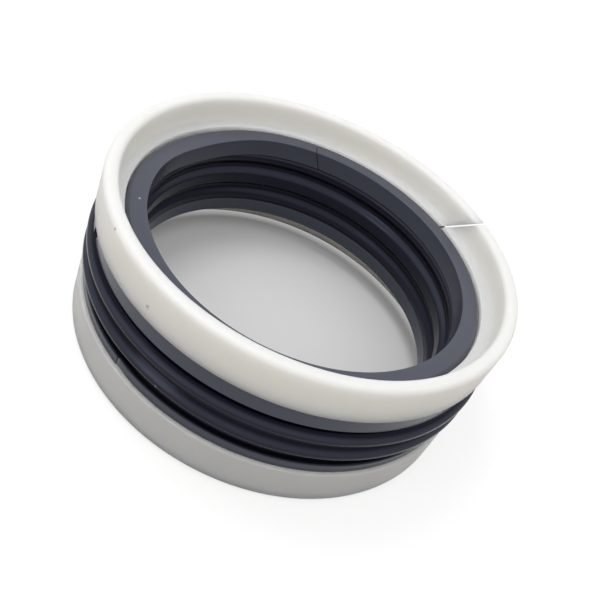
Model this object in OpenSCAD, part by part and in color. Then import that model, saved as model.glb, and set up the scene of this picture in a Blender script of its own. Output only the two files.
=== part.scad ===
// Double-acting piston seal set: five rings that stack on one axis.
// A rubber sealing element sits in the middle. A split back-up ring lies on each side of it,
// and a split guide ring with an L-shaped section closes each end.
// The set stands on the rim of its lower guide ring, with the origin at the centre of that rim.
// Sections are drawn at x = radius and y = height above the set's mid plane.

/* [Cylinder and piston] */
// Diameter of the cylinder bore, which is the outer diameter of the guide rings
bore_d = 90; // [60:1:160]
// Depth of the section, from the cylinder bore in to the floor of the piston's groove
section_depth = 10; // [9:0.25:12]
// Width of the middle groove, which holds the sealing element and both back-up rings
groove_w = 22.4; // [22:0.1:26]
// Width of the step beside the groove, which carries the guide ring's long leg
step_w = 6.35; // [4.5:0.05:9]

/* [Guide rings] */
// Thickness of the long leg, which runs along the axis
guide_wall = 3; // [2.4:0.1:3.4]
// Thickness of the short leg, which points to the axis
guide_leg_t = 2.65; // [2:0.05:2.8]
// How far the short leg reaches in from the long leg
guide_leg_reach = 2.25; // [1.6:0.05:2.6]
// Radius of the rounding on both edges of the rim
guide_rim_r = 1; // [0.4:0.1:1.15]
// Radius of the fillet between the two legs
guide_fillet_r = 0.8; // [0.3:0.1:1.2]
// Size of the bevel on the outer edge at the short leg
guide_bevel = 0.3; // [0.1:0.05:0.8]
// Size of the bevel on the short leg's inner edges
guide_leg_bevel = 0.2; // [0.1:0.05:0.4]
// Width of the cut through the ring, measured square to it
guide_cut_w = 0.5; // [0.3:0.1:3]
// Angle between the cut and the axis
guide_cut_bias = 45; // [20:1:50]
// Place of the upper ring's cut round the axis
upper_guide_cut_at = 46; // [20:1:70]
// Place of the lower ring's cut round the axis
lower_guide_cut_at = 170; // [150:1:190]

/* [Back-up rings] */
// Radial gap between the back-up ring and the groove floor
backup_floor_gap = 0.3; // [0.15:0.05:0.6]
// Radial gap between the back-up ring and the cylinder bore
backup_bore_gap = 0.8; // [0.4:0.1:1.4]
// Radial gap to the guide ring's short leg
backup_leg_gap = 0.15; // [0.05:0.05:0.4]
// How far the end face lies below the side of the groove
backup_recess = 0.3; // [0.05:0.05:0.8]
// Height of the upper ring's wall round the bore
upper_wall_h = 4.4; // [3.6:0.1:4.8]
// Height of the lower ring's wall round the bore
lower_wall_h = 3.4; // [3:0.1:4.8]
// Height of the upper ring's band, which shows on the outside
upper_band_h = 4.1; // [3:0.1:4.3]
// Height of the lower ring's band, which shows on the outside
lower_band_h = 2; // [1.5:0.1:4.3]
// Width of the flat on the rubber side, from the bore outwards
backup_flat_w = 3.9; // [3:0.1:4.6]
// Radial width of the slope from that flat to the band
backup_slope_w = 1.9; // [1:0.1:2.2]
// Size of the bevel on the end face's outer edge
backup_bevel = 0.8; // [0.3:0.1:1.1]
// Size of the bevel on the edges of the bore and of the band, and of the ledge left in the band's slot
backup_edge = 0.2; // [0.1:0.05:0.4]
// Width of the cut through the ring, measured square to it
backup_cut_w = 0.3; // [0.2:0.1:3]
// Angle between the upper ring's cut and the axis
upper_backup_cut_bias = 27; // [0:1:45]
// Angle between the lower ring's cut and the axis
lower_backup_cut_bias = 5; // [0:1:45]
// Place of the upper ring's cut round the axis
upper_backup_cut_at = 103; // [80:1:130]
// Place of the lower ring's cut round the axis
lower_backup_cut_at = -120; // [-150:1:-90]
// Width of the open slot in the upper ring's band, measured square to it
band_slot_w = 2; // [0.4:0.1:4]
// Angle between that slot and the axis
band_slot_bias = 20; // [0:1:45]
// Place of that slot round the axis
band_slot_at = -148; // [-170:1:-110]

/* [Sealing element] */
// How far the two outer lips stand out past the cylinder bore before fitting
lip_squeeze = 0.4; // [0.2:0.05:0.8]
// Distance between the crests of the two outer lips
lip_spacing = 4.4; // [4:0.1:4.8]
// Radius of the rounding on each lip's crest
lip_r = 0.7; // [0.4:0.05:0.8]
// Width of the cylindrical land on each lip's crest
lip_land = 0.3; // [0.1:0.05:0.5]
// Height of a lip's slope, from its crest to the side groove
lip_slope_h = 1.6; // [1.2:0.05:1.7]
// Depth of the channel between the two lips
channel_depth = 1.3; // [0.8:0.1:1.6]
// Width of the channel's flat floor
channel_floor_w = 1; // [0.4:0.1:1.4]
// Depth of the side grooves between the lips and the back-up rings
side_groove_depth = 2.1; // [1.6:0.1:2.6]
// Width of the cylindrical land on the broad ridge in the bore
ridge_land = 2; // [1:0.1:3]
// Distance from the middle of the ridge to the floor of each valley beside it
valley_offset = 3.05; // [2.6:0.05:3.4]
// Depth of the valleys beside the ridge
valley_depth = 1.2; // [0.6:0.1:1.6]
// Radius of the rounded beads at both ends of the bore
bead_r = 0.8; // [0.6:0.05:1]
// Radial gap between the beads and the groove floor
bead_floor_gap = 0.15; // [0.05:0.05:0.5]
// Gap between the rubber and the slope and band of the back-up ring
rubber_gap = 0.15; // [0.05:0.05:0.3]

/* [Hidden] */

bore_r = bore_d / 2;
floor_r = bore_r - section_depth;

// Distances from the mid plane, the same at both ends
groove_side = groove_w / 2;
rim_top = groove_side + step_w;
leg_seat = groove_side - guide_leg_t;
backup_face = groove_side - backup_recess;
mid_height = rim_top;

// Distances from the mid plane to where each back-up ring's flat and band meet the rubber
upper_flat = backup_face - upper_wall_h;
lower_flat = backup_face - lower_wall_h;
upper_foot = leg_seat - upper_band_h;
lower_foot = leg_seat - lower_band_h;

// Radii of the guide rings
guide_inner_r = bore_r - guide_wall;
guide_leg_r = guide_inner_r - guide_leg_reach;

// Radii of the back-up rings
backup_bore_r = floor_r + backup_floor_gap;
backup_body_r = guide_leg_r - backup_leg_gap;
backup_band_r = bore_r - backup_bore_gap;
backup_flat_r = backup_bore_r + backup_flat_w;
slope_foot_r = backup_flat_r + backup_slope_w;

// Radii of the sealing element
lip_crest_r = bore_r + lip_squeeze;
channel_r = lip_crest_r - channel_depth;
side_groove_r = lip_crest_r - side_groove_depth;
bead_crest_r = floor_r + bead_floor_gap;
valley_r = floor_r + valley_depth;

// Angles of the arc on a lip's crest, towards the channel and towards the side groove
LIP_ARC = [-50, 60];
// Angles of the arc round a bead, from under the back-up ring to its lower side
BEAD_ARC = [90, 200];

// Smoothness of the turned surfaces and of the curves in the sections
TURN_FN = 180;
CURVE_STEPS = 6;

// Angle at which a turned surface starts and ends, on the side away from a ring's cut
TURN_START = 180;

// Points along an arc from angle a0 to angle a1
function arc(centre, r, a0, a1) =
    [for (i = [0:CURVE_STEPS]) let (a = a0 + (a1 - a0) * i / CURVE_STEPS) centre + r * [cos(a), sin(a)]];

// Points along a smooth wave that leaves one point and reaches the other parallel to the axis
function wave(from, to) =
    [for (i = [1:CURVE_STEPS]) let (t = i / CURVE_STEPS, k = (1 - cos(180 * t)) / 2)
        [from[0] + (to[0] - from[0]) * k, from[1] + (to[1] - from[1]) * t]];

// The same points on the other side of the mid plane, in the other order
function mirrored(points) = [for (i = [len(points) - 1:-1:0]) [points[i][0], -points[i][1]]];

// Section of a guide ring. The rim is rounded on both edges and a fillet joins the legs.
function guide_section() = concat(
    [[guide_leg_r, leg_seat + guide_leg_bevel], [guide_leg_r + guide_leg_bevel, leg_seat],
     [bore_r - guide_bevel, leg_seat], [bore_r, leg_seat + guide_bevel]],
    arc([bore_r - guide_rim_r, rim_top - guide_rim_r], guide_rim_r, 0, 90),
    arc([guide_inner_r + guide_rim_r, rim_top - guide_rim_r], guide_rim_r, 90, 180),
    arc([guide_inner_r - guide_fillet_r, groove_side + guide_fillet_r], guide_fillet_r, 0, -90),
    [[guide_leg_r + guide_leg_bevel, groove_side], [guide_leg_r, groove_side - guide_leg_bevel]]);

// Section of a back-up ring. It steps under the guide ring's short leg and slopes to the rubber.
function backup_section(flat, foot) = [
    [backup_bore_r + backup_edge, flat],
    [backup_flat_r, flat],
    [slope_foot_r, foot],
    [backup_band_r - backup_edge, foot],
    [backup_band_r, foot + backup_edge],
    [backup_band_r, leg_seat],
    [backup_body_r, leg_seat],
    [backup_body_r, backup_face - backup_bevel],
    [backup_body_r - backup_bevel, backup_face],
    [backup_bore_r + backup_edge, backup_face],
    [backup_bore_r, backup_face - backup_edge],
    [backup_bore_r, flat + backup_edge]];

// Outer side of the sealing element from the mid plane to the back-up ring: half of the channel,
// a lip, and the side groove that ends under the band.
function lip_side(foot) =
    let (crest = [lip_crest_r - lip_r, lip_spacing / 2],
         groove_end = foot - rubber_gap,
         groove_start = min(crest[1] + lip_slope_h, groove_end - rubber_gap))
    concat(
        [[channel_r, channel_floor_w / 2]],
        arc(crest - [0, lip_land / 2], lip_r, LIP_ARC[0], 0),
        arc(crest + [0, lip_land / 2], lip_r, 0, LIP_ARC[1]),
        [[side_groove_r, groove_start], [side_groove_r, groove_end]]);

// End of the sealing element. It follows the slope of the back-up ring at a small gap, touches its
// flat, and turns into the bead at the bore.
function bead_centre(flat) = [bead_crest_r + bead_r, flat - rubber_gap - bead_r];
function seal_end(flat, foot) = concat(
    [[slope_foot_r, foot - rubber_gap],
     [backup_flat_r, flat - rubber_gap],
     [backup_flat_r - rubber_gap, flat],
     [bead_crest_r + 2 * bead_r, flat]],
    arc(bead_centre(flat), bead_r, BEAD_ARC[0], BEAD_ARC[1]));

// Half of the wavy bore: from the bead into the valley and up to the land of the broad ridge.
// The ridge lies midway between the two ends of the rubber.
function bore_side(flat, ridge_mid) =
    let (bead_end = bead_centre(flat) + bead_r * [cos(BEAD_ARC[1]), sin(BEAD_ARC[1])],
         valley = [valley_r, ridge_mid + valley_offset])
    concat(wave(bead_end, valley), wave(valley, [floor_r, ridge_mid + ridge_land / 2]));

function seal_half(flat, foot, ridge_mid) =
    concat(lip_side(foot), seal_end(flat, foot), bore_side(flat, ridge_mid));

function seal_section() =
    let (ridge_mid = (upper_flat - lower_flat) / 2)
    concat(seal_half(upper_flat, upper_foot, ridge_mid),
           mirrored(seal_half(lower_flat, lower_foot, -ridge_mid)));

module turned(points) {
    rotate([0, 0, TURN_START]) rotate_extrude($fn = TURN_FN) polygon(points);
}

// Stands a shape drawn about the mid plane in its place over the origin
module upper_half() {
    translate([0, 0, mid_height]) children();
}

// Turns a shape over, so that it faces the other end of the set
module lower_half() {
    translate([0, 0, mid_height]) mirror([0, 0, 1]) children();
}

// Slot on the X axis that starts at a radius and opens to the outside. It leans over about that axis.
module bias_slot(width, bias, from_r, y) {
    translate([from_r, 0, y]) rotate([bias, 0, 0])
        translate([0, -width / 2, -groove_w / 2]) cube([bore_r, width, groove_w]);
}

// Each split ring is cut through on the X axis, and then turned until its cut stands in its place
module guide_ring(cut_at) {
    rotate([0, 0, cut_at]) difference() {
        turned(guide_section());
        bias_slot(guide_cut_w, guide_cut_bias, floor_r, (rim_top + leg_seat) / 2);
    }
}

module backup_ring(flat, foot, cut_at, cut_bias) {
    rotate([0, 0, cut_at]) difference() {
        turned(backup_section(flat, foot));
        bias_slot(backup_cut_w, -cut_bias, floor_r, (backup_face + foot) / 2);
    }
}

module lower_guide_ring() {
    color("ivory") lower_half() guide_ring(lower_guide_cut_at);
}

module lower_backup_ring() {
    color("dimgray") lower_half()
        backup_ring(lower_flat, lower_foot, lower_backup_cut_at, lower_backup_cut_bias);
}

module sealing_element() {
    color([0.1, 0.1, 0.12]) upper_half() turned(seal_section());
}

module upper_backup_ring() {
    color("dimgray") upper_half() difference() {
        backup_ring(upper_flat, upper_foot, upper_backup_cut_at, upper_backup_cut_bias);
        rotate([0, 0, band_slot_at])
            bias_slot(band_slot_w, -band_slot_bias, backup_body_r + backup_edge, (leg_seat + upper_foot) / 2);
    }
}

module upper_guide_ring() {
    color("ivory") upper_half() guide_ring(upper_guide_cut_at);
}

lower_guide_ring();
lower_backup_ring();
sealing_element();
upper_backup_ring();
upper_guide_ring();
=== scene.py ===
"""Looks of a piston seal set: a rubber ring between two split back-up rings and two split guide rings.

Every length is in metres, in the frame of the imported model. A ring's section is drawn at r, the distance
from the axis, and h, the height above the set's mid plane.
"""
import logging
import math
from collections.abc import Callable, Sequence
from dataclasses import dataclass
from enum import Enum

import bpy
from mathutils import Matrix, Vector


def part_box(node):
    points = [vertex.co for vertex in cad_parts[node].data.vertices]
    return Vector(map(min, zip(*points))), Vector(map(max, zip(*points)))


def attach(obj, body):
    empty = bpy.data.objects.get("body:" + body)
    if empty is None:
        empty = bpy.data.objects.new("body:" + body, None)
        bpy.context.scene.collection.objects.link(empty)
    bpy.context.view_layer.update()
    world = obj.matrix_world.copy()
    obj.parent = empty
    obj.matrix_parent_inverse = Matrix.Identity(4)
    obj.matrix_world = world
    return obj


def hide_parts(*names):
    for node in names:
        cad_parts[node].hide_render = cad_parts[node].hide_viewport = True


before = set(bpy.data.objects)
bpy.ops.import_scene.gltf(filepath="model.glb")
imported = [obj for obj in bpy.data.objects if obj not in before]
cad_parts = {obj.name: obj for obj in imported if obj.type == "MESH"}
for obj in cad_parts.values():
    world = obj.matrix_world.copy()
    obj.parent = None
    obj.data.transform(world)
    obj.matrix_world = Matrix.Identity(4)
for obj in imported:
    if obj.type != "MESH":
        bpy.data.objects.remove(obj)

MM = 0.001
LOG = logging.getLogger("seal_set")
Corner = tuple[float, float, float]
Colour = tuple[float, float, float]
Place = tuple[float, float, float]


class RingEnd(Enum):
    """The end of the set that a ring belongs to, as the direction from the mid plane."""

    UPPER = 1
    LOWER = -1


@dataclass(frozen=True)
class Set:
    """Sizes that the five rings share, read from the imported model.

    Attributes:
        mid: Height of the mid plane over the origin.
        bore_r: Radius of the cylinder's bore, which the guide rings fill.
        rim_h: Height of the guide ring's rim above the mid plane.
        seat_h: Height above the mid plane of the guide ring's end towards the rubber.
    """

    mid: float
    bore_r: float
    rim_h: float
    seat_h: float

    @classmethod
    def from_frame(cls) -> "Set":
        """Reads the sizes from the boxes of the guide rings.

        Returns:
            The set's sizes: its mid plane, the guide rings' radius and the heights of their two ends.
        """
        low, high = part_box("upper_guide_ring")
        mid = high.z / 2
        return cls(mid=mid, bore_r=high.x, rim_h=high.z - mid, seat_h=low.z - mid)


class Section:
    """A closed outline in the r and h plane, with rounded corners and evenly spaced points."""

    CORNER_STEPS = 6
    STRETCH = 0.75 * MM
    NOTHING = 0.0001 * MM
    CLOSE = 0.1

    def __init__(self) -> None:
        """Starts an empty outline."""
        self.points: list[Vector] = []

    def add(self, *points: Sequence[float]) -> "Section":
        """Adds points as they are and returns the outline."""
        self.points += [Vector(p) for p in points]
        return self

    def arc(
        self, centre: Sequence[float], radius: float, start: float, end: float, steps: int = 12
    ) -> "Section":
        """Adds points along an arc.

        Args:
            centre: The arc's centre, as r and h.
            radius: The arc's radius.
            start: The angle of the first point in degrees, from the direction of r towards that of h.
            end: The angle of the last point in degrees.
            steps: The number of stretches.

        Returns:
            The outline.
        """
        for i in range(steps + 1):
            turn = math.radians(start + (end - start) * i / steps)
            self.points.append(Vector(centre) + radius * Vector((math.cos(turn), math.sin(turn))))
        return self

    def wave(self, end: Sequence[float], steps: int = 12) -> "Section":
        """Adds a smooth wave from the last point to another, which it reaches parallel to the axis.

        Args:
            end: The wave's last point, as r and h.
            steps: The number of stretches.

        Returns:
            The outline.
        """
        start, finish = self.points[-1].copy(), Vector(end)
        for i in range(1, steps + 1):
            share = i / steps
            swing = (1 - math.cos(math.pi * share)) / 2
            r = start.x + (finish.x - start.x) * swing
            h = start.y + (finish.y - start.y) * share
            self.points.append(Vector((r, h)))
        return self

    def corners(self, corners: Sequence[Corner]) -> "Section":
        """Makes the whole outline from corners, each rounded by its own radius.

        Args:
            corners: The corners in order, each as r, h and the rounding's radius.

        Returns:
            The outline.
        """
        for i, (r, h, radius) in enumerate(corners):
            here = Vector((r, h))
            before = (Vector(corners[i - 1][:2]) - here).normalized()
            after = (Vector(corners[(i + 1) % len(corners)][:2]) - here).normalized()
            half = before.angle(after) / 2
            centre = here + (before + after).normalized() * radius / math.sin(half)
            start = here + before * radius / math.tan(half) - centre
            end = here + after * radius / math.tan(half) - centre
            first, last = math.atan2(start.y, start.x), math.atan2(end.y, end.x)
            turn = (last - first + math.pi) % math.tau - math.pi
            self.arc(centre, radius, math.degrees(first), math.degrees(first + turn), self.CORNER_STEPS)
        return self

    def spaced(self, crossing_r: float = 0.0) -> list[Vector]:
        """Divides the long stretches, so that the surface can bend along them.

        Args:
            crossing_r: Distance from the axis at which every stretch that crosses it gets a point.

        Returns:
            The points of the closed outline.
        """
        spaced: list[Vector] = []
        for i, point in enumerate(self.points):
            after = self.points[(i + 1) % len(self.points)]
            length = (after - point).length
            if length < self.NOTHING:
                continue
            pieces = max(1, math.ceil(length / self.STRETCH))
            shares = {k / pieces for k in range(pieces)}
            if (point.x - crossing_r) * (after.x - crossing_r) < 0:
                crossing = (crossing_r - point.x) / (after.x - point.x)
                apart = {share for share in shares if share == 0 or abs(share - crossing) > self.CLOSE}
                shares = apart | {crossing}
            spaced += [point.lerp(after, share) for share in sorted(shares)]
        return spaced


@dataclass(frozen=True)
class Station:
    """A line along which the section stands somewhere round the ring.

    Attributes:
        angle: Gives the angle in radians for a point of the section.
        inset: Gives how far the surface is pulled in at that point.
        open_from: Distance from the axis past which the ring is open as far as the next station.
    """

    angle: Callable[[Vector], float]
    inset: Callable[[Vector], float] = lambda point: 0.0
    open_from: float = math.inf


@dataclass(frozen=True)
class Cut:
    """A bias cut through a ring, or a slot in the outside of one.

    Attributes:
        at: Place round the axis in degrees.
        width: Width measured square to the cut.
        lean: Lean from the axis in degrees, positive where the cut goes back as it climbs.
        level: Height at which the cut stands at its place.
        floor_r: Distance of a slot's floor from the axis, or zero for a cut all the way through.
        edge: Size of the softened edges.
    """

    at: float
    width: float
    lean: float
    level: float
    floor_r: float = 0.0
    edge: float = 0.08 * MM

    def station(
        self, offset: float, pulled: bool = False, turns: float = 0.0, opens: bool = False
    ) -> Station:
        """Returns a station on a plane beside the cut's middle.

        Args:
            offset: Distance of the plane from the middle of the cut, measured square to it.
            pulled: True on the softened edge, where the surface is pulled in.
            turns: Whole turns in radians to add to the angle.
            opens: True where the slot begins.

        Returns:
            The station.
        """
        lean, at = math.radians(self.lean), math.radians(self.at) + turns

        def angle(point: Vector) -> float:
            """Returns the angle at which the plane passes through the circle of this point."""
            side = (offset - (point.y - self.level) * math.sin(lean)) / (point.x * math.cos(lean))
            return at + math.asin(side)

        def inset(point: Vector) -> float:
            """Returns the softening where the cut reaches this point, and nothing elsewhere."""
            return self.edge if pulled and point.x > self.floor_r else 0.0

        return Station(angle, inset, self.floor_r if opens else math.inf)

    def round_trip(self) -> list[Station]:
        """Finds the stations from one side of the cut, round the ring, to the other side.

        Returns:
            The four stations.
        """
        half = self.width / 2
        return [
            self.station(half, pulled=True),
            self.station(half + self.edge),
            self.station(-half - self.edge, turns=math.tau),
            self.station(-half, pulled=True, turns=math.tau),
        ]

    def across(self, turns: float) -> list[Station]:
        """Finds the stations from before a slot to past it.

        Args:
            turns: Whole turns to add, in radians.

        Returns:
            The four stations.
        """
        half = self.width / 2
        return [
            self.station(-half - self.edge, turns=turns),
            self.station(-half, pulled=True, turns=turns, opens=True),
            self.station(half, pulled=True, turns=turns),
            self.station(half + self.edge, turns=turns),
        ]


@dataclass(frozen=True)
class Bend:
    """A place where a ring stands a little off its true form.

    Attributes:
        at: Middle of the place round the axis in degrees.
        before: How far it reaches before the middle, in degrees.
        after: How far it reaches past the middle, in degrees.
        still_r: Distance from the axis at which the ring stays as it is.
        moved_r: Distance from the axis at which it moves in full.
        shift: The full movement, as r and h.
    """

    at: float
    before: float
    after: float
    still_r: float
    moved_r: float
    shift: tuple[float, float]

    def move(self, point: Vector, angle: float) -> Vector:
        """Works out how far a point of the section moves.

        Args:
            point: The point, as r and h.
            angle: Its angle round the axis in radians.

        Returns:
            The movement, as r and h.
        """
        away = math.degrees(angle - math.radians(self.at) + math.pi) % 360 - 180
        swell = math.cos(math.pi / 2 * min(1.0, abs(away) / (self.before if away < 0 else self.after))) ** 2
        share = (point.x - self.still_r) / (self.moved_r - self.still_r)
        return Vector(self.shift) * swell * min(1.0, max(0.0, share))


class RingMesh:
    """The mesh of a ring, swept from its section through stations round the axis."""

    STEP = math.radians(0.75)
    SHARP = math.radians(40)

    def __init__(
        self,
        outline: Sequence[Vector],
        mid: float,
        end: RingEnd = RingEnd.UPPER,
        bends: Sequence[Bend] = (),
    ) -> None:
        """Keeps the outline and works out which way its surface faces.

        Args:
            outline: The section's points, in the direction from r towards h round the material.
            mid: Height of the mid plane over the origin.
            end: The end of the set, which turns the section over for the lower one.
            bends: The places where the ring stands off its true form.
        """
        self.outline, self.mid, self.end, self.bends = list(outline), mid, end, bends
        self.vertices: list[Vector] = []
        self.faces: list[tuple[int, ...]] = []
        self.strips: list[float] = []
        self.facing: list[Vector] = []
        for i, after in enumerate(self.outline[1:] + self.outline[:1]):
            along = after - self.outline[i - 1]
            self.facing.append(Vector((along.y, -along.x)).normalized())

    def columns(self, stations: Sequence[Station]) -> None:
        """Adds the vertices of each station but the last, and of even steps between each two.

        Args:
            stations: The stations in order round the ring.
        """
        middle = self.outline[0]
        for first, second in zip(stations, stations[1:]):
            steps = max(1, math.ceil((second.angle(middle) - first.angle(middle)) / self.STEP))
            for k in range(steps):
                self.column(first, second, k / steps)
                self.strips.append(first.open_from)

    def column(self, first: Station, second: Station, share: float) -> None:
        """Adds the vertices of one column between two stations.

        Args:
            first: The station before the column.
            second: The station after it.
            share: How far the column lies from the first to the second, from 0 to 1.
        """
        for point, facing in zip(self.outline, self.facing):
            pulled = point - facing * first.inset(point) if share == 0 else point
            angle = first.angle(pulled) * (1 - share) + second.angle(pulled) * share
            for bend in self.bends:
                pulled = pulled + bend.move(point, angle)
            height = self.mid + self.end.value * pulled.y
            self.vertices.append(Vector((pulled.x * math.cos(angle), pulled.x * math.sin(angle), height)))

    def strip(self, here: int, there: int, open_from: float) -> None:
        """Adds the faces between two columns.

        Args:
            here: Number of the first column's first vertex.
            there: Number of the second column's first vertex.
            open_from: Distance from the axis past which there are no faces.
        """
        rows = [i for i, point in enumerate(self.outline) if point.x <= open_from + Section.NOTHING]
        for i, k in zip(rows, rows[1:] + rows[:1]):
            self.faces.append((here + i, there + i, there + k, here + k))

    def side(self, column: int, open_from: float, faces_on: bool) -> None:
        """Closes the section at one side of a cut or of a slot.

        Args:
            column: Number of the column's first vertex.
            open_from: Distance from the axis past which the section is closed.
            faces_on: True where the side faces on round the axis, and False where it faces back.
        """
        past = [i for i, point in enumerate(self.outline) if point.x > open_from + Section.NOTHING]
        rows = [past[0] - 1, *past, past[-1] + 1] if open_from else past
        self.faces.append(tuple(column + i for i in (reversed(rows) if faces_on else rows)))

    def build(self, name: str, stations: Sequence[Station], closed: bool) -> bpy.types.Object:
        """Builds the ring as an object.

        Args:
            name: The object's name.
            stations: The stations in order round the axis.
            closed: True where the ring has no cut.

        Returns:
            The object, linked to the scene.
        """
        self.columns(stations)
        rows, count = len(self.outline), len(self.strips)
        if not closed:
            self.column(stations[-1], stations[-1], 0.0)
            self.side(0, 0.0, faces_on=False)
            self.side(count * rows, 0.0, faces_on=True)
        total = count if closed else count + 1
        for j, open_from in enumerate(self.strips):
            self.strip(j * rows, (j + 1) % total * rows, open_from)
            if open_from < self.strips[j - 1]:
                self.side(j * rows, open_from, faces_on=True)
            if open_from > self.strips[j - 1]:
                self.side(j * rows, self.strips[j - 1], faces_on=False)
        return self.made(name)

    def made(self, name: str) -> bpy.types.Object:
        """Makes an object of the vertices in use and their faces, linked to the scene.

        Args:
            name: The object's name.

        Returns:
            The object.
        """
        used = sorted({i for face in self.faces for i in face})
        number = {i: k for k, i in enumerate(used)}
        order = reversed if self.end is RingEnd.UPPER else list
        faces = [tuple(order([number[i] for i in face])) for face in self.faces]
        mesh = bpy.data.meshes.new(name)
        mesh.from_pydata([self.vertices[i] for i in used], [], faces)
        mesh.validate()
        mesh.shade_smooth()
        mesh.set_sharp_from_angle(angle=self.SHARP)
        piece = bpy.data.objects.new(name, mesh)
        bpy.context.scene.collection.objects.link(piece)
        return piece


def dress(piece: bpy.types.Object, node: str, material: bpy.types.Material) -> None:
    """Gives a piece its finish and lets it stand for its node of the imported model.

    Args:
        piece: The piece.
        node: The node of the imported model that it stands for.
        material: The material.
    """
    piece.data.materials.append(material)
    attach(piece, "root")
    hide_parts(node)
    LOG.info("%s: %d faces, stands for %s", piece.name, len(piece.data.polygons), node)


@dataclass
class GuideRing:
    """A split guide ring with an L-shaped section: a long leg along the axis and a short one towards it.

    Attributes:
        sizes: The sizes that the rings share.
        end: The end of the set that the ring belongs to.
        cut: The cut through the ring.
        wall: Thickness of the long leg.
        leg: Thickness of the short leg.
        leg_reach: How far the short leg reaches past the long one.
        rim_round: Rounding of the rim's edges.
        fillet: Rounding between the legs.
        outer_round: Rounding of the outer edge under the short leg.
        leg_round: Rounding of the short leg's edges.
    """

    sizes: Set
    end: RingEnd
    cut: Cut
    wall: float = 3.0 * MM
    leg: float = 2.65 * MM
    leg_reach: float = 2.25 * MM
    rim_round: float = 1.0 * MM
    fillet: float = 0.8 * MM
    outer_round: float = 0.3 * MM
    leg_round: float = 0.2 * MM

    def section(self) -> list[Vector]:
        """Draws the section.

        Returns:
            The points of its outline.
        """
        outer, inner = self.sizes.bore_r, self.sizes.bore_r - self.wall
        seat, rim = self.sizes.seat_h, self.sizes.rim_h
        tip = inner - self.leg_reach
        return Section().corners([
            (tip, seat, self.leg_round),
            (outer, seat, self.outer_round),
            (outer, rim, self.rim_round),
            (inner, rim, self.rim_round),
            (inner, seat + self.leg, self.fillet),
            (tip, seat + self.leg, self.leg_round),
        ]).spaced()

    def build(self, material: bpy.types.Material) -> None:
        """Builds the ring and dresses it.

        Args:
            material: The ring's plastic.
        """
        side = self.end.name.lower()
        ring = RingMesh(self.section(), self.sizes.mid, self.end)
        piece = ring.build(f"guide_ring_{side}", self.cut.round_trip(), closed=False)
        dress(piece, f"{side}_guide_ring", material)


@dataclass
class BackupRing:
    """A split back-up ring: it steps under the guide ring's short leg and slopes to the rubber.

    Attributes:
        sizes: The sizes that the rings share.
        end: The end of the set that the ring belongs to.
        cut: The cut through the ring.
        wall_h: Height of the wall, from the flat on the rubber to the face.
        band_h: Height of the band, from its foot to the guide ring.
        slot: The slot in the band, where it has one.
        bends: The places where the ring stands off its true form.
        face_h: Height of the face above the mid plane.
        bore_r: Radius of the ring's bore.
        body_r: Radius of the body above the band.
        band_r: Radius of the band.
        flat_w: Width of the flat on the rubber.
        slope_w: Width of the slope from the flat to the band's foot.
        bevel: Size of the bevel on the face's outer edge.
        edge_round: Rounding of the bore's edges and of the band's foot.
        bevel_round: Rounding of the bevel's edges and of the band's step.
        slope_round: Rounding of the slope's edges.
    """

    sizes: Set
    end: RingEnd
    cut: Cut
    wall_h: float
    band_h: float
    slot: Cut | None = None
    bends: tuple[Bend, ...] = ()
    face_h: float = 10.9 * MM
    bore_r: float = 35.3 * MM
    body_r: float = 39.6 * MM
    band_r: float = 44.2 * MM
    flat_w: float = 3.9 * MM
    slope_w: float = 1.9 * MM
    bevel: float = 0.8 * MM
    edge_round: float = 0.2 * MM
    bevel_round: float = 0.15 * MM
    slope_round: float = 0.3 * MM

    def section(self) -> list[Vector]:
        """Draws the section.

        Returns:
            The points of its outline.
        """
        flat, foot = self.face_h - self.wall_h, self.sizes.seat_h - self.band_h
        flat_r = self.bore_r + self.flat_w
        return Section().corners([
            (self.bore_r, flat, self.edge_round),
            (flat_r, flat, self.slope_round),
            (flat_r + self.slope_w, foot, self.slope_round),
            (self.band_r, foot, self.edge_round),
            (self.band_r, self.sizes.seat_h, self.bevel_round),
            (self.body_r, self.sizes.seat_h, self.bevel_round),
            (self.body_r, self.face_h - self.bevel, self.bevel_round),
            (self.body_r - self.bevel, self.face_h, self.bevel_round),
            (self.bore_r, self.face_h, self.edge_round),
        ]).spaced(self.slot.floor_r if self.slot else 0.0)

    def stations(self) -> list[Station]:
        """Finds the stations round the ring, with the slot between the two sides of the cut.

        Returns:
            The stations in order.
        """
        opening, first, last, closing = self.cut.round_trip()
        turns = math.tau if self.slot and self.slot.at < self.cut.at else 0.0
        return [opening, first, *(self.slot.across(turns) if self.slot else []), last, closing]

    def build(self, material: bpy.types.Material) -> None:
        """Builds the ring and dresses it.

        Args:
            material: The ring's plastic.
        """
        side = self.end.name.lower()
        ring = RingMesh(self.section(), self.sizes.mid, self.end, self.bends)
        piece = ring.build(f"backup_ring_{side}", self.stations(), closed=False)
        dress(piece, f"{side}_backup_ring", material)


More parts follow.
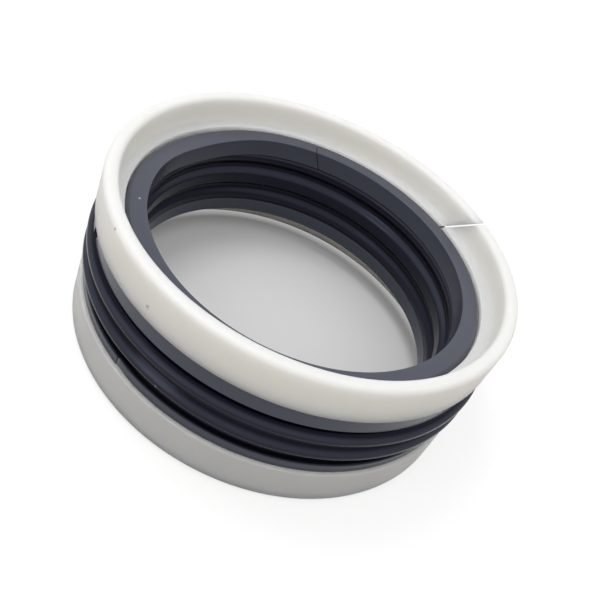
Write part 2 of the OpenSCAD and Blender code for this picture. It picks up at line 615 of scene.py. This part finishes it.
@dataclass
class SealingElement:
    """The rubber ring: two lips round the outside, and a broad ridge between two beads in the bore.

    Attributes:
        sizes: The sizes that the rings share.
        upper: The back-up ring above the rubber.
        lower: The back-up ring below it.
        crest_r: Radius of the lips.
        lip_offset: Height of a lip's middle, measured from the mid plane.
        lip_round: Rounding of a lip.
        lip_land: Length of the straight crest of a lip.
        lip_slope: Height of the slope from a lip to the groove beside it.
        channel_depth: Depth of the channel between the lips.
        channel_w: Width of the channel's floor.
        groove_depth: Depth of the groove between a lip and the back-up ring.
        ridge_r: Radius of the bore at the ridge.
        ridge_w: Width of the ridge's crest.
        valley_r: Radius of the bore between the ridge and a bead.
        valley_offset: Height of that valley, measured from the ridge's middle.
        bead_crest_r: Radius of the bore at a bead.
        bead_round: Rounding of a bead.
        gap: Clearance between the rubber and the back-up rings' slopes and feet.
        lip_arc: Angles in degrees at which a lip's rounding starts and ends.
        bead_arc: Angles in degrees at which a bead's rounding starts and ends.
    """

    sizes: Set
    upper: BackupRing
    lower: BackupRing
    crest_r: float = 45.4 * MM
    lip_offset: float = 2.2 * MM
    lip_round: float = 0.7 * MM
    lip_land: float = 0.3 * MM
    lip_slope: float = 1.6 * MM
    channel_depth: float = 1.3 * MM
    channel_w: float = 1.0 * MM
    groove_depth: float = 2.1 * MM
    ridge_r: float = 35.0 * MM
    ridge_w: float = 2.0 * MM
    valley_r: float = 36.2 * MM
    valley_offset: float = 3.05 * MM
    bead_crest_r: float = 35.15 * MM
    bead_round: float = 0.8 * MM
    gap: float = 0.15 * MM
    lip_arc: tuple[float, float] = (-50.0, 60.0)
    bead_arc: tuple[float, float] = (90.0, 200.0)

    def half(self, ring: BackupRing, ridge_h: float) -> list[Vector]:
        """Returns one half of the section, from the middle of the channel to the middle of the ridge.

        Args:
            ring: The back-up ring at this end.
            ridge_h: Height of the ridge's middle, measured towards this end.

        Returns:
            The outline's points, with h measured towards this end.
        """
        flat, foot = ring.face_h - ring.wall_h, self.sizes.seat_h - ring.band_h
        flat_r = ring.bore_r + ring.flat_w
        under_band = foot - self.gap
        groove_r = self.crest_r - self.groove_depth
        slope_end = min(self.lip_offset + self.lip_slope, under_band - self.gap)
        lip_r = self.crest_r - self.lip_round
        bead = (self.bead_crest_r + self.bead_round, flat - self.gap - self.bead_round)
        line = Section().add((self.crest_r - self.channel_depth, self.channel_w / 2))
        line.arc((lip_r, self.lip_offset - self.lip_land / 2), self.lip_round, self.lip_arc[0], 0)
        line.arc((lip_r, self.lip_offset + self.lip_land / 2), self.lip_round, 0, self.lip_arc[1])
        line.add((groove_r, slope_end), (groove_r, under_band), (flat_r + ring.slope_w, under_band))
        line.add((flat_r, flat - self.gap), (flat_r - self.gap, flat))
        line.arc(bead, self.bead_round, *self.bead_arc)
        line.wave((self.valley_r, ridge_h + self.valley_offset))
        line.wave((self.ridge_r, ridge_h + self.ridge_w / 2))
        return line.points

    def section(self) -> list[Vector]:
        """Draws the section, with the ridge midway between the ends of the rubber.

        Returns:
            The points of its outline.
        """
        ridge_h = (self.lower.wall_h - self.upper.wall_h) / 2
        turned = [Vector((p.x, -p.y)) for p in reversed(self.half(self.lower, -ridge_h))]
        return Section().add(*self.half(self.upper, ridge_h), *turned).spaced()

    def build(self, material: bpy.types.Material) -> None:
        """Builds the ring and dresses it.

        Args:
            material: The rubber.
        """
        stations = [Station(lambda point: 0.0), Station(lambda point: math.tau)]
        piece = RingMesh(self.section(), self.sizes.mid).build("rubber_ring", stations, closed=True)
        dress(piece, "sealing_element", material)


class Tree:
    """A node tree with short calls to add nodes and link them.

    The Mix node keeps the sockets of every kind of value, so its own are found by number.
    """

    MIX_SHARE = 0
    MIX_VALUES = (2, 3)
    MIX_COLOURS = (6, 7)
    MIXED_VALUE = 0
    MIXED_COLOUR = 2

    def __init__(self, tree: bpy.types.NodeTree) -> None:
        """Empties the tree and keeps it."""
        self.tree = tree
        self.tree.nodes.clear()

    def node(
        self, kind: str, inputs: dict[str | int, object] | None = None, **settings: object
    ) -> bpy.types.Node:
        """Adds a node.

        Args:
            kind: The name of the node's type.
            inputs: Values or output sockets for its inputs, by name or number.
            settings: The node's own settings.

        Returns:
            The node.
        """
        node = self.tree.nodes.new(kind)
        for name, value in settings.items():
            setattr(node, name, value)
        for name, value in (inputs or {}).items():
            if isinstance(value, bpy.types.NodeSocket):
                self.tree.links.new(value, node.inputs[name])
            else:
                node.inputs[name].default_value = value
        return node

    def math(self, operation: str, *values: object) -> bpy.types.NodeSocket:
        """Adds a Math node over the values and returns its output."""
        return self.node("ShaderNodeMath", dict(enumerate(values)), operation=operation).outputs[0]

    def vector(self, operation: str, *values: object, output: str = "Vector") -> bpy.types.NodeSocket:
        """Adds a Vector Math node over the values and returns the named output."""
        node = self.node("ShaderNodeVectorMath", dict(enumerate(values)), operation=operation)
        return node.outputs[output]

    def mix(self, share: object, first: object, second: object) -> bpy.types.NodeSocket:
        """Adds a node that mixes two colours by a share and returns its output."""
        inputs = {self.MIX_SHARE: share, **dict(zip(self.MIX_COLOURS, (first, second)))}
        return self.node("ShaderNodeMix", inputs, data_type="RGBA").outputs[self.MIXED_COLOUR]

    def blend(self, share: object, first: object, second: object) -> bpy.types.NodeSocket:
        """Adds a node that mixes two values by a share and returns its output."""
        inputs = {self.MIX_SHARE: share, **dict(zip(self.MIX_VALUES, (first, second)))}
        return self.node("ShaderNodeMix", inputs).outputs[self.MIXED_VALUE]

    def remap(
        self, value: object, low: object, high: object, to_low: object, to_high: object
    ) -> bpy.types.NodeSocket:
        """Adds a node that stretches a range of values onto another and returns its output."""
        inputs = dict(enumerate((value, low, high, to_low, to_high)))
        return self.node("ShaderNodeMapRange", inputs).outputs[0]

    def place(self) -> bpy.types.NodeSocket:
        """Adds a node for the place on the object and returns its output."""
        return self.node("ShaderNodeTexCoord").outputs["Object"]

    def noise(self, place: object, scale: object, detail: float = 2.0) -> bpy.types.Node:
        """Adds a noise over places and returns the node."""
        return self.node("ShaderNodeTexNoise", {"Vector": place, "Scale": scale, "Detail": detail})

    def effect(
        self, group: bpy.types.NodeTree, inputs: dict[str, object] | None = None
    ) -> bpy.types.NodeSocket:
        """Adds a node group with values for its inputs and returns its output."""
        return self.node("ShaderNodeGroup", inputs, node_tree=group).outputs[0]


class Effects:
    """The node groups that more than one finish uses, each built once."""

    CLOUD_EDGES = (0.35, 0.7)
    CLOUD_DETAIL = 4.0
    SPECK_WOBBLE_SCALE = 900.0
    SPECK_WOBBLE = 0.6 * MM
    SWAY_REACH = 0.4 * MM
    LINE_DETAIL = 3.0
    FINER = 5.0
    FINER_DETAIL = 1.0
    SPOT_WOBBLE_SCALE = 2500.0
    SPOT_WOBBLE_EDGES = (0.3, 0.7)
    SPOT_WOBBLE = (0.6, 1.4)
    SPOT_EDGES = (0.5, 1.0)

    def __init__(self) -> None:
        """Builds the groups."""
        self.tone = self.build_tone()
        self.specks = self.build_specks()
        self.turning = self.build_turning()
        self.grain = self.build_grain()
        self.spot = self.build_spot()
        self.painted_top = self.build_painted_top()
        self.hollow_shade = self.build_hollow_shade()

    @staticmethod
    def group(name: str, inputs: dict[str, object], output: str) -> tuple[Tree, list[bpy.types.NodeSocket]]:
        """Starts a node group.

        Args:
            name: The group's name.
            inputs: The default value of each input by name: a tuple for a colour, a Vector for a place.
            output: The output's name, which is Colour for a colour.

        Returns:
            The group's tree and the sockets of its inputs.
        """
        tree = bpy.data.node_groups.new(name, "ShaderNodeTree")
        kinds = {tuple: "NodeSocketColor", Vector: "NodeSocketVector", float: "NodeSocketFloat"}
        for label, value in inputs.items():
            socket = tree.interface.new_socket(name=label, in_out="INPUT", socket_type=kinds[type(value)])
            socket.default_value = (*value, 1.0) if isinstance(value, tuple) else value
        kind = kinds[tuple if output == "Colour" else float]
        tree.interface.new_socket(name=output, in_out="OUTPUT", socket_type=kind)
        made = Tree(tree)
        given = made.node("NodeGroupInput").outputs
        return made, [given[label] for label in inputs]

    @staticmethod
    def finished(tree: Tree, output: bpy.types.NodeSocket) -> bpy.types.NodeTree:
        """Links a socket to the group's output and returns the group."""
        tree.node("NodeGroupOutput", {0: output})
        return tree.tree

    def build_tone(self) -> bpy.types.NodeTree:
        """Builds the group for soft clouds of a second colour over the first.

        Returns:
            The node group.
        """
        inputs = {"Colour": (0.5, 0.5, 0.5), "Cloud": (0.4, 0.4, 0.4), "Scale": 40.0, "Amount": 0.3}
        tree, (colour, cloud, scale, amount) = self.group("soft_tone", inputs, "Colour")
        noise = tree.noise(tree.place(), scale, self.CLOUD_DETAIL).outputs[0]
        share = tree.math("MULTIPLY", tree.remap(noise, *self.CLOUD_EDGES, 0.0, 1.0), amount)
        return self.finished(tree, tree.mix(share, colour, cloud))

    def build_specks(self) -> bpy.types.NodeTree:
        """Builds the group for small scattered specks of dust.

        Returns:
            The node group.
        """
        inputs = {"Scale": 300.0, "Size": 0.1, "Share": 0.05}
        tree, (scale, size, share) = self.group("dust_specks", inputs, "Mask")
        place = tree.place()
        wobble = tree.noise(place, self.SPECK_WOBBLE_SCALE).outputs["Color"]
        moved = tree.vector("MULTIPLY", wobble, (self.SPECK_WOBBLE,) * 3)
        bent = tree.vector("ADD", place, moved)
        cells = tree.node("ShaderNodeTexVoronoi", {"Vector": bent, "Scale": scale})
        chosen = tree.node("ShaderNodeSeparateColor", {0: cells.outputs["Color"]})
        reach = tree.math("MULTIPLY", size, chosen.outputs[1])
        speck = tree.math("LESS_THAN", cells.outputs["Distance"], reach)
        kept = tree.math("LESS_THAN", chosen.outputs[0], share)
        return self.finished(tree, tree.math("MULTIPLY", speck, kept))

    def build_turning(self) -> bpy.types.NodeTree:
        """Builds the group for the fine lines that a turning tool leaves round the axis.

        Returns:
            The node group.
        """
        tree, (lines, sway) = self.group("turning_lines", {"Lines": 9000.0, "Sway": 60.0}, "Height")
        place = tree.place()
        x, y, z = tree.node("ShaderNodeSeparateXYZ", {0: place}).outputs
        square = tree.math("ADD", tree.math("MULTIPLY", x, x), tree.math("MULTIPLY", y, y))
        sweep = tree.math("ADD", tree.math("SQRT", square), z)
        swayed = tree.math("MULTIPLY_ADD", tree.noise(place, sway).outputs[0], self.SWAY_REACH, sweep)
        along = tree.node("ShaderNodeCombineXYZ", {0: tree.math("MULTIPLY", swayed, lines)})
        return self.finished(tree, tree.noise(along.outputs[0], 1.0, self.LINE_DETAIL).outputs[0])

    def build_grain(self) -> bpy.types.NodeTree:
        """Builds the group for the fine uneven skin of a moulded surface.

        Returns:
            The node group.
        """
        tree, (scale, fine) = self.group("moulded_grain", {"Scale": 900.0, "Fine": 0.4}, "Height")
        place = tree.place()
        coarse = tree.noise(place, scale).outputs[0]
        finer = tree.noise(place, tree.math("MULTIPLY", scale, self.FINER), self.FINER_DETAIL).outputs[0]
        return self.finished(tree, tree.math("MULTIPLY_ADD", finer, fine, coarse))

    def build_spot(self) -> bpy.types.NodeTree:
        """Builds the group for one small uneven blemish at a place.

        Returns:
            The node group.
        """
        tree, (middle, size) = self.group("single_spot", {"Place": Vector(), "Size": 0.001}, "Mask")
        place = tree.place()
        wobble = tree.noise(place, self.SPOT_WOBBLE_SCALE).outputs[0]
        apart = tree.vector("DISTANCE", place, middle, output="Value")
        swell = tree.remap(wobble, *self.SPOT_WOBBLE_EDGES, *self.SPOT_WOBBLE)
        edge = tree.math("DIVIDE", tree.math("MULTIPLY", apart, swell), size)
        return self.finished(tree, tree.remap(edge, *self.SPOT_EDGES, 1.0, 0.0))

    def build_painted_top(self) -> bpy.types.NodeTree:
        """Builds the group for painted top light: a mask that grows as a face turns up, as though lit from
        above.

        Returns:
            The node group.
        """
        tree, (low, high) = self.group("painted_top_light", {"Low": -0.2, "High": 0.7}, "Mask")
        normal = tree.node("ShaderNodeNewGeometry").outputs["Normal"]
        climb = tree.node("ShaderNodeSeparateXYZ", {0: normal}).outputs[2]
        return self.finished(tree, tree.remap(climb, low, high, 0.0, 1.0))

    def build_hollow_shade(self) -> bpy.types.NodeTree:
        """Builds the mask for the painted shade of the hollows between two distances from the axis.

        Returns:
            The node group.
        """
        inputs = {"Inner": 0.0, "Outer": 0.0, "Fade": 0.5 * MM}
        tree, (inner, outer, fade) = self.group("hollow_shade", inputs, "Mask")
        flat = tree.vector("MULTIPLY", tree.place(), (1.0, 1.0, 0.0))
        away = tree.vector("LENGTH", flat, output="Value")
        past = tree.remap(away, tree.math("SUBTRACT", inner, fade), inner, 0.0, 1.0)
        within = tree.remap(away, tree.math("SUBTRACT", outer, fade), outer, 1.0, 0.0)
        return self.finished(tree, tree.math("MULTIPLY", past, within))


@dataclass(frozen=True)
class Spot:
    """A small blemish on a ring.

    Attributes:
        at: Place round the axis in degrees.
        r: Distance from the axis.
        z: Height over the floor.
        size: Radius.
        strength: How strongly it covers the colour.
    """

    at: float
    r: float
    z: float
    size: float
    strength: float = 0.8

    def place(self) -> Vector:
        """Returns the blemish's place."""
        turn = math.radians(self.at)
        return Vector((self.r * math.cos(turn), self.r * math.sin(turn), self.z))


@dataclass(frozen=True)
class Finish:
    """A finish of the set: a toned colour with dust specks on it, painted shade in its hollows and painted
    light on its faces turned up, an uneven gloss and a fine relief.

    Attributes:
        name: The material's name.
        colour: Main colour, linear.
        cloud: Colour of the soft clouds, linear.
        dust: Colour of the specks, linear.
        cloud_amount: How strongly the clouds show.
        speck_share: Share of the cells that hold a speck.
        rough: Lowest and highest roughness.
        line_depth: Depth of the turning lines.
        grain_depth: Depth of the moulded grain.
        painted_top: Colour painted on faces turned up, linear: painted light, as though lit from above.
        ior: Index of refraction.
        tint: Tint of the gloss.
        hollow_shade: Colour of the hollows, linear: painted shade, as though they lay in shadow.
        hollow_shade_r: Distances from the axis between which the hollows get the painted shade and no
            painted top light.
        subsurface: How much light goes through the surface and comes out beside it.
        subsurface_reach: How far that light travels inside.
        spots: Single blemishes in the colour of the specks.
    """

    GRAIN_RANGE = (0.3, 1.1)
    SUBSURFACE_SHARES = (1.0, 0.95, 0.85)

    name: str
    colour: Colour
    cloud: Colour
    dust: Colour
    cloud_amount: float
    speck_share: float
    rough: tuple[float, float]
    line_depth: float
    grain_depth: float
    painted_top: Colour
    ior: float = 1.42
    tint: Colour = (1.0, 1.0, 1.0)
    hollow_shade: Colour = (0.0, 0.0, 0.0)
    hollow_shade_r: tuple[float, float] = (0.0, 0.0)
    subsurface: float = 0.0
    subsurface_reach: float = 8.0 * MM
    spots: tuple[Spot, ...] = ()

    def base_colour(self, tree: Tree, effects: Effects) -> bpy.types.NodeSocket:
        """Adds the nodes for the colour: the tone, the painted shade in the hollows, the painted top light,
        the specks and the spots.

        Args:
            tree: The material's nodes.
            effects: The node groups.

        Returns:
            The colour.
        """
        dust = (*self.dust, 1.0)
        tone = tree.effect(effects.tone, {
            "Colour": (*self.colour, 1.0),
            "Cloud": (*self.cloud, 1.0),
            "Amount": self.cloud_amount,
        })
        # Painted shade: the hollows are darkened as though they lay in shadow.
        hollow_shade = tree.effect(effects.hollow_shade, dict(zip(("Inner", "Outer"), self.hollow_shade_r)))
        shaded_tone = tree.mix(hollow_shade, tone, (*self.hollow_shade, 1.0))
        # Painted light: faces turned up are lightened as though lit from above, except in the hollows.
        share = tree.math("MULTIPLY", tree.effect(effects.painted_top), tree.math("SUBTRACT", 1.0, hollow_shade))
        top_painted = tree.mix(share, shaded_tone, (*self.painted_top, 1.0))
        colour = tree.mix(tree.effect(effects.specks, {"Share": self.speck_share}), top_painted, dust)
        for spot in self.spots:
            mask = tree.effect(effects.spot, {"Place": spot.place(), "Size": spot.size})
            colour = tree.mix(tree.math("MULTIPLY", mask, spot.strength), colour, dust)
        return colour

    def build(self, effects: Effects) -> bpy.types.Material:
        """Builds the material.

        Args:
            effects: The node groups.

        Returns:
            The material.
        """
        material = bpy.data.materials.new(self.name)
        material.use_nodes = True
        tree = Tree(material.node_tree)
        turning, grain = tree.effect(effects.turning), tree.effect(effects.grain)
        lines = tree.node("ShaderNodeBump", {"Height": turning, "Distance": self.line_depth})
        relief = tree.node("ShaderNodeBump", {
            "Height": grain,
            "Distance": self.grain_depth,
            "Normal": lines.outputs[0],
        })
        surface = tree.node("ShaderNodeBsdfPrincipled", {
            "Base Color": self.base_colour(tree, effects),
            "Roughness": tree.remap(grain, *self.GRAIN_RANGE, *self.rough),
            "Normal": relief.outputs[0],
            "IOR": self.ior,
            "Specular Tint": (*self.tint, 1.0),
            "Subsurface Weight": self.subsurface,
            "Subsurface Scale": self.subsurface_reach,
            "Subsurface Radius": self.SUBSURFACE_SHARES,
        })
        tree.node("ShaderNodeOutputMaterial", {"Surface": surface.outputs[0]})
        return material


GUIDE_PLASTIC = Finish(
    name="guide_plastic",
    colour=(0.83, 0.82, 0.775),
    cloud=(0.78, 0.77, 0.71),
    dust=(0.16, 0.15, 0.14),
    cloud_amount=0.35,
    speck_share=0.006,
    rough=(0.42, 0.54),
    line_depth=0.012 * MM,
    grain_depth=0.004 * MM,
    painted_top=(0.83, 0.82, 0.775),
    ior=1.48,
    subsurface=1.0,
    spots=(
        Spot(at=-115.5, r=45 * MM, z=29.05 * MM, size=0.5 * MM, strength=0.5),
        Spot(at=-133.7, r=45 * MM, z=34.2 * MM, size=0.35 * MM),
    ),
)
BACKUP_PLASTIC = Finish(
    name="backup_plastic",
    colour=(0.052, 0.056, 0.075),
    cloud=(0.047, 0.051, 0.068),
    dust=(0.45, 0.46, 0.48),
    cloud_amount=0.5,
    speck_share=0.004,
    rough=(0.16, 0.24),
    line_depth=0.001 * MM,
    grain_depth=0.001 * MM,
    # Painted light: faces turned up are painted lighter than the plastic's own colour.
    painted_top=(0.064, 0.068, 0.088),
    tint=(0.72, 0.80, 1.0),
    # Painted shade: the slope and foot beside the rubber are painted near black.
    hollow_shade=(0.006, 0.006, 0.010),
    hollow_shade_r=(40.0 * MM, 44.15 * MM),
    spots=(Spot(at=-157.0, r=36.94 * MM, z=28.45 * MM, size=0.3 * MM),),
)
SEAL_RUBBER = Finish(
    name="seal_rubber",
    colour=(0.003, 0.003, 0.009),
    cloud=(0.004, 0.004, 0.012),
    dust=(0.25, 0.25, 0.27),
    cloud_amount=0.5,
    speck_share=0.004,
    rough=(0.16, 0.24),
    line_depth=0.0005 * MM,
    grain_depth=0.001 * MM,
    # Painted light: faces turned up are painted much lighter than the rubber's own colour.
    painted_top=(0.035, 0.037, 0.053),
    ior=1.25,
    tint=(0.68, 0.74, 1.0),
    # Painted shade: the rubber between its bore's valleys and its lips, with the channel and the grooves,
    # is painted darker.
    hollow_shade=(0.002, 0.002, 0.007),
    hollow_shade_r=(36.4 * MM, 44.85 * MM),
    spots=(Spot(at=-106.2, r=45.3 * MM, z=15.2 * MM, size=0.3 * MM),),
)


@dataclass(frozen=True)
class Lamp:
    """A square soft light that shines at the set.

    Attributes:
        name: The lamp's name.
        place: Where it stands.
        size: Length of its side.
        power: Power in watts.
    """

    name: str
    place: Place
    size: float
    power: float

    def build(self) -> None:
        """Adds the lamp to the scene."""
        light = bpy.data.lights.new(self.name, "AREA")
        light.size, light.energy = self.size, self.power
        lamp = bpy.data.objects.new(self.name, light)
        bpy.context.scene.collection.objects.link(lamp)
        lamp.location = self.place
        lamp.rotation_mode = "QUATERNION"
        lamp.rotation_quaternion = (-Vector(self.place)).to_track_quat("-Z", "Y")


@dataclass
class Studio:
    """The pale floor, the white surroundings, the soft lights and the camera.

    Attributes:
        floor_size: Length of the floor's side.
        floor_seen: The floor's grey to the eye, under the set and round it.
        floor_fill: The floor's own glow to the eye, under the set and round it.
        seen_r: Distances from the axis between which the first of each pair turns into the second.
        floor_lit: The floor's grey to the light that it throws back: in the bore, near and far; the dark
            near grey is painted shade round the set, which dims the light thrown back onto its lower rings.
        lit_r: Distances from the axis between which near turns into far.
        floor_tint: Tint of that light.
        sky_seen: The white of the surroundings to the eye.
        sky_light: Strength of their light at the horizon and overhead.
        lamps: The soft lights.
        camera_place: Where the camera stands.
        camera_right: The direction to the right of its picture.
        camera_up: The direction to the top of its picture.
        lens: Focal length in millimetres.
        sensor: Width of the sensor in millimetres.
    """

    floor_size: float = 3.0
    floor_seen: tuple[float, float] = (0.62, 0.35)
    floor_fill: tuple[float, float] = (0.08, 0.68)
    seen_r: tuple[float, float] = (0.040, 0.045)
    floor_lit: tuple[float, float, float] = (0.30, 0.06, 0.62)
    lit_r: tuple[float, float] = (0.060, 0.150)
    floor_tint: Colour = (1.0, 0.91, 0.83)
    sky_seen: float = 1.0
    sky_light: tuple[float, float] = (0.30, 1.20)
    lamps: tuple[Lamp, ...] = (
        Lamp("key_light", (-0.20, 0.05, 0.56), 0.2, 0.85),
        Lamp("edge_light", (-0.296, -0.367, 0.371), 0.20, 0.4),
    )
    camera_place: Place = (0.002181, -0.131872, 0.120973)
    camera_right: Place = (0.88845, 0.29114, 0.35483)
    camera_up: Place = (-0.45898, 0.56355, 0.68685)
    lens: float = 46.18
    sensor: float = 36.0

    def seen(self, tree: Tree) -> bpy.types.NodeSocket:
        """Tells apart the rays that show the surroundings: directly, in a gloss or through something clear.

        Args:
            tree: The nodes of the floor or of the surroundings.

        Returns:
            1 for those rays and 0 for all others.
        """
        path = tree.node("ShaderNodeLightPath")
        gloss = tree.math("MAXIMUM", path.outputs["Is Glossy Ray"], path.outputs["Is Transmission Ray"])
        return tree.math("MAXIMUM", path.outputs["Is Camera Ray"], gloss)

    def floor_material(self) -> bpy.types.Material:
        """Builds the floor's material, which shows one grey and throws back another.

        Returns:
            The material.
        """
        material = bpy.data.materials.new("pale_floor")
        material.use_nodes = True
        tree = Tree(material.node_tree)
        seen, away = self.seen(tree), tree.vector("LENGTH", tree.place(), output="Value")
        grey, glow = (tree.remap(away, *self.seen_r, *pair) for pair in (self.floor_seen, self.floor_fill))
        # Painted shade: the floor near the set throws back little light, as though it lay in shadow.
        bore, near, far = self.floor_lit
        within = tree.remap(away, *self.seen_r, bore, 0.0)
        lit = tree.math("MAXIMUM", within, tree.remap(away, *self.lit_r, near, far))
        tinted = tree.vector("MULTIPLY", lit, self.floor_tint)
        matte = tree.node("ShaderNodeBsdfDiffuse", {"Color": tree.mix(seen, tinted, grey)})
        fill = tree.node("ShaderNodeEmission", {"Strength": tree.math("MULTIPLY", seen, glow)})
        both = tree.node("ShaderNodeAddShader", {0: matte.outputs[0], 1: fill.outputs[0]})
        tree.node("ShaderNodeOutputMaterial", {"Surface": both.outputs[0]})
        return material

    def floor(self) -> None:
        """Builds the floor, which keeps the object's shadow."""
        half = self.floor_size / 2
        corners = [(-half, -half, 0), (half, -half, 0), (half, half, 0), (-half, half, 0)]
        mesh = bpy.data.meshes.new("floor")
        mesh.from_pydata(corners, [], [(0, 1, 2, 3)])
        mesh.materials.append(self.floor_material())
        plane = bpy.data.objects.new("floor", mesh)
        bpy.context.scene.collection.objects.link(plane)

    def sky(self) -> None:
        """Builds the white surroundings, which light the object less than they show."""
        world = bpy.data.worlds.new("surroundings")
        bpy.context.scene.world = world
        world.use_nodes = True
        tree = Tree(world.node_tree)
        way = tree.node("ShaderNodeTexCoord").outputs["Generated"]
        climb = tree.node("ShaderNodeSeparateXYZ", {0: way}).outputs[2]
        light = tree.remap(climb, 0.0, 1.0, *self.sky_light)
        strength = tree.blend(self.seen(tree), light, self.sky_seen)
        white = tree.node("ShaderNodeBackground", {"Color": (1.0, 1.0, 1.0, 1.0), "Strength": strength})
        tree.node("ShaderNodeOutputWorld", {"Surface": white.outputs[0]})

    def camera(self) -> None:
        """Places the camera at the photograph's viewing angle."""
        view = bpy.data.cameras.new("camera")
        view.lens, view.sensor_width = self.lens, self.sensor
        camera = bpy.data.objects.new("camera", view)
        bpy.context.scene.collection.objects.link(camera)
        right, up = Vector(self.camera_right), Vector(self.camera_up)
        turn = Matrix((right, up, right.cross(up))).transposed()
        camera.matrix_world = Matrix.Translation(self.camera_place) @ turn.to_4x4()
        bpy.context.scene.camera = camera

    def build(self) -> None:
        """Builds the whole studio."""
        self.camera()
        self.floor()
        self.sky()
        for lamp in self.lamps:
            lamp.build()
        bpy.context.scene.view_settings.view_transform = "Standard"


def backup_rings(sizes: Set) -> tuple[BackupRing, BackupRing]:
    """Returns the upper and the lower back-up ring, with the places where they stand off their true form.

    Args:
        sizes: The sizes that the rings share.

    Returns:
        The two rings, not built yet.
    """
    sprung_end = Bend(
        at=-148.8, before=25, after=1, still_r=39.8 * MM, moved_r=44.2 * MM, shift=(0.3 * MM, 0.0)
    )
    sunk_face = Bend(
        at=155.0, before=35, after=30, still_r=41 * MM, moved_r=35.3 * MM, shift=(-0.5 * MM, -0.7 * MM)
    )
    raised_end = Bend(
        at=-119.6, before=0.5, after=6, still_r=43.0 * MM, moved_r=44.2 * MM, shift=(0.25 * MM, -0.8 * MM)
    )
    upper = BackupRing(
        sizes,
        RingEnd.UPPER,
        cut=Cut(at=103.0, width=0.08 * MM, lean=-27.0, level=7.675 * MM, edge=0.1 * MM),
        wall_h=4.4 * MM,
        band_h=4.1 * MM,
        slot=Cut(at=-147.3, width=2.0 * MM, lean=-20.0, level=6.5 * MM, floor_r=39.8 * MM),
        bends=(sprung_end, sunk_face),
    )
    lower = BackupRing(
        sizes,
        RingEnd.LOWER,
        cut=Cut(at=-120.0, width=0.1 * MM, lean=-5.0, level=8.725 * MM),
        wall_h=3.4 * MM,
        band_h=2.0 * MM,
        bends=(raised_end,),
    )
    return upper, lower


def main() -> None:
    """Builds the studio and the five rings."""
    logging.basicConfig(level=logging.INFO)
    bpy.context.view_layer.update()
    Studio().build()
    effects = Effects()
    guide_plastic, backup_plastic, rubber = (
        finish.build(effects) for finish in (GUIDE_PLASTIC, BACKUP_PLASTIC, SEAL_RUBBER)
    )
    sizes = Set.from_frame()
    level = (sizes.rim_h + sizes.seat_h) / 2
    upper_cut = Cut(at=46.0, width=0.35 * MM, lean=45.0, level=level)
    lower_cut = Cut(at=170.0, width=0.5 * MM, lean=45.0, level=level)
    GuideRing(sizes, RingEnd.UPPER, upper_cut).build(guide_plastic)
    GuideRing(sizes, RingEnd.LOWER, lower_cut).build(guide_plastic)
    upper, lower = backup_rings(sizes)
    upper.build(backup_plastic)
    lower.build(backup_plastic)
    SealingElement(sizes, upper, lower).build(rubber)


if __name__ == "__main__":
    main()
